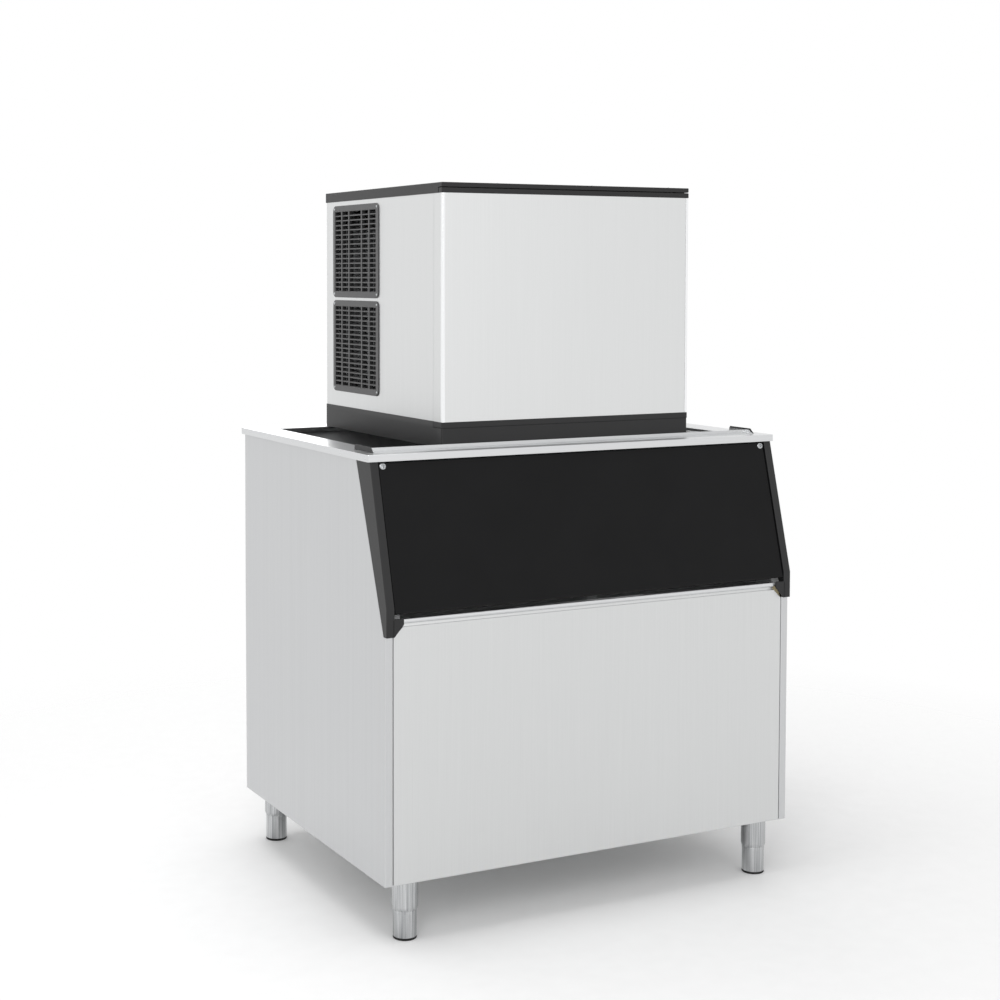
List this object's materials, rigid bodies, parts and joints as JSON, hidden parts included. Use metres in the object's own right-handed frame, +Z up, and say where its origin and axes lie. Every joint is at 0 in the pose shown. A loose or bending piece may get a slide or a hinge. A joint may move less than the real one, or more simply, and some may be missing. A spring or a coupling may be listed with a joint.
{
  "type": "modular ice cube machine",
  "caption": "Stainless ice cube machine: boxy ice-making head with side grilles, seated on a wide insulated storage bin with a sloping black flap door and tubular legs.",
  "frame": {"origin": "on the floor, at the centre of the outer bounding box's footprint", "axes": "+X to the right seen from the front, +Y to the back (the door faces -Y), +Z up"},
  "size_m": [1.246, 0.958, 1.8916],
  "materials": {
    "stainless_satin": "fine satin brushed stainless sheet",
    "stainless_rim": "brighter folded stainless rim",
    "stainless_leg": "turned and brushed stainless tube",
    "bright_trim": "polished bright",
    "zinc_plate": "galvanised sheet",
    "black_abs": "fine-grained black moulding",
    "grey_liner": "smooth grey moulded liner",
    "foam_core": "foamed in place",
    "black_enamel": "satin black enamel",
    "rubber_black": "moulded rubber",
    "fins_aluminium": "bare fins",
    "nickel_grid": "nickel plated grid",
    "white_plastic": "moulded white plastic",
    "clear_plastic": "clear flexible flap",
    "copper_line": "bare drawn tube"
  },
  "bodies": {
    "machine": {"bin_base_pan": "zinc_plate", "bin_drain": "white_plastic", "bin_front_panel": "stainless_satin", "bin_insulation": "foam_core", "bin_liner": "grey_liner", "bin_rear_panel": "stainless_satin", "bin_rim": "stainless_rim", "bin_side_panel_left": "stainless_satin", "bin_side_panel_right": "stainless_satin", "cable_gland": "black_abs", "casing_screws": "black_enamel", "compressor": "black_enamel", "compressor_grommets": "rubber_black", "condenser": "fins_aluminium", "control_box": "zinc_plate", "cover_edge_strip_left": "bright_trim", "cover_edge_strip_right": "bright_trim", "door_trim_left": "black_abs", "door_trim_right": "black_abs", "drier_line": "copper_line", "ear_cover_left": "black_abs", "ear_cover_right": "black_abs", "evaporator": "nickel_grid", "evaporator_frame": "white_plastic", "fan_motor": "black_enamel", "fan_shroud": "zinc_plate", "float_valve": "white_plastic", "front_cover_cap_lower": "black_abs", "front_cover_cap_upper": "black_abs", "front_cover_skin": "stainless_satin", "grille_lower": "black_abs", "grille_upper": "black_abs", "head_base": "black_abs", "head_rear_panel": "stainless_satin", "head_side_left": "stainless_satin", "head_side_right": "stainless_satin", "head_stop_bar": "stainless_rim", "head_top_cover": "black_abs", "hinge_bracket_left": "zinc_plate", "hinge_bracket_right": "zinc_plate", "leg_sleeve_front_left": "stainless_leg", "leg_sleeve_front_right": "stainless_leg", "leg_sleeve_rear_left": "stainless_leg", "leg_sleeve_rear_right": "stainless_leg", "partition": "zinc_plate", "switch_housing": "black_abs", "water_distributor": "white_plastic", "water_inlet": "copper_line", "water_pump": "white_plastic", "water_trough": "white_plastic"},
    "door": {"bin_door": "black_abs", "door_cap_screws": "bright_trim"},
    "fan": {"fan_blade": "fins_aluminium"},
    "curtain": {"water_curtain": "clear_plastic"},
    "float": {"float_arm": "white_plastic"},
    "switch": {"switch_lever": "black_abs"},
    "foot_front_left": {"leg_foot_front_left": "stainless_leg"},
    "foot_rear_left": {"leg_foot_rear_left": "stainless_leg"},
    "foot_front_right": {"leg_foot_front_right": "stainless_leg"},
    "foot_rear_right": {"leg_foot_rear_right": "stainless_leg"}
  },
  "joints": [
    {"name": "door_hinge", "type": "hinge", "parent": "machine", "child": "door", "pos_m": [0, -0.37411, 1.1735], "axis": [-1, 0, 0], "range_deg": [0, 90]},
    {"name": "fan_spin", "type": "hinge", "parent": "machine", "child": "fan", "pos_m": [-0.3, 0.2095, 1.585], "axis": [1, 0, 0], "continuous": true},
    {"name": "curtain_swing", "type": "hinge", "parent": "machine", "child": "curtain", "pos_m": [0.185, 0.1455, 1.755], "axis": [-1, 0, 0], "range_deg": [0, 35]},
    {"name": "float_swing", "type": "hinge", "parent": "machine", "child": "float", "pos_m": [0.085, 0.3115, 1.32], "axis": [1, 0, 0], "range_deg": [-20, 9]},
    {"name": "switch_rocker", "type": "hinge", "parent": "machine", "child": "switch", "pos_m": [-0.135, -0.2565, 1.708], "axis": [1, 0, 0], "range_deg": [0, 36]},
    {"name": "foot_adjust_front_left", "type": "slide", "parent": "machine", "child": "foot_front_left", "axis": [0, 0, -1], "range_m": [0, 0.025]},
    {"name": "foot_adjust_rear_left", "type": "slide", "parent": "machine", "child": "foot_rear_left", "axis": [0, 0, -1], "range_m": [0, 0.025]},
    {"name": "foot_adjust_front_right", "type": "slide", "parent": "machine", "child": "foot_front_right", "axis": [0, 0, -1], "range_m": [0, 0.025]},
    {"name": "foot_adjust_rear_right", "type": "slide", "parent": "machine", "child": "foot_rear_right", "axis": [0, 0, -1], "range_m": [0, 0.025]}
  ]
}
